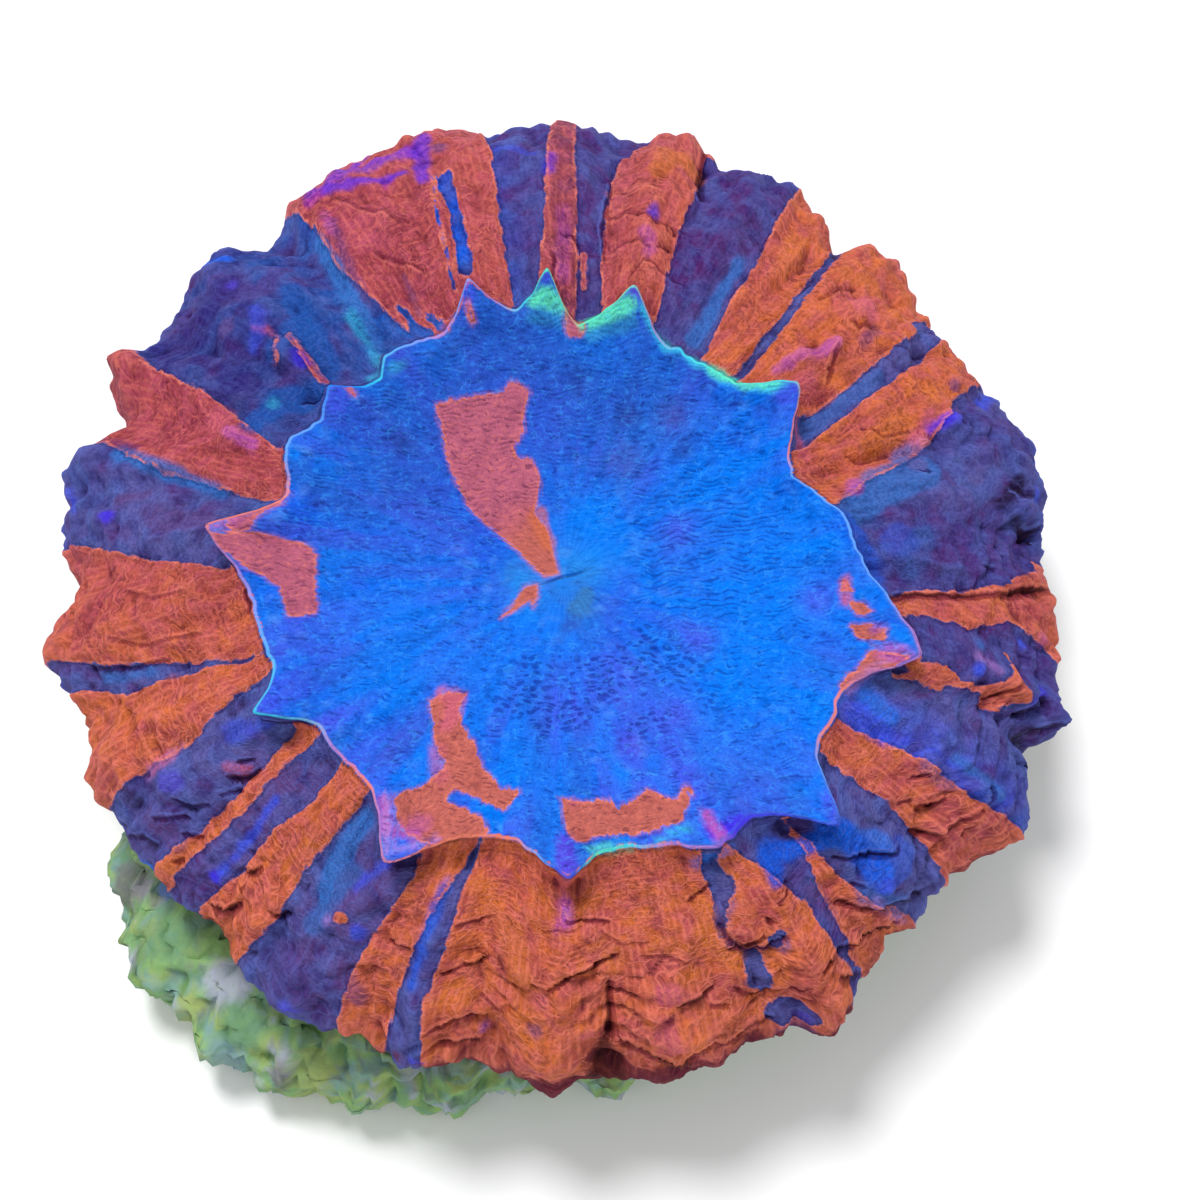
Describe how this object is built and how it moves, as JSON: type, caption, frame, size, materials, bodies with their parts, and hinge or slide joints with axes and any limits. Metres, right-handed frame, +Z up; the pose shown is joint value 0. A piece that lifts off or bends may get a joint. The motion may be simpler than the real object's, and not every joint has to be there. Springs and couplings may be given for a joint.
{
  "type": "doughnut coral",
  "caption": "Single round fleshy coral polyp: dished disc with a horned crest and a lobed mantle, on its own ribbed stony skeleton cut flat to stand on.",
  "frame": {"origin": "the flat foot, straight under the middle of the mouth", "axes": "+Z up out of the mouth, +X to the right and +Y away from the encrusted ledge's side, which faces -X and -Y"},
  "size_m": [0.114, 0.1168, 0.0391],
  "materials": {
    "flesh": "soft moist flesh, blue disc and orange and indigo mantle",
    "encrusted_stone": "matt porous coral stone under green turf algae and crust"
  },
  "bodies": {
    "root": {"polyp": "flesh", "skeleton": "encrusted_stone"}
  },
  "joints": []
}
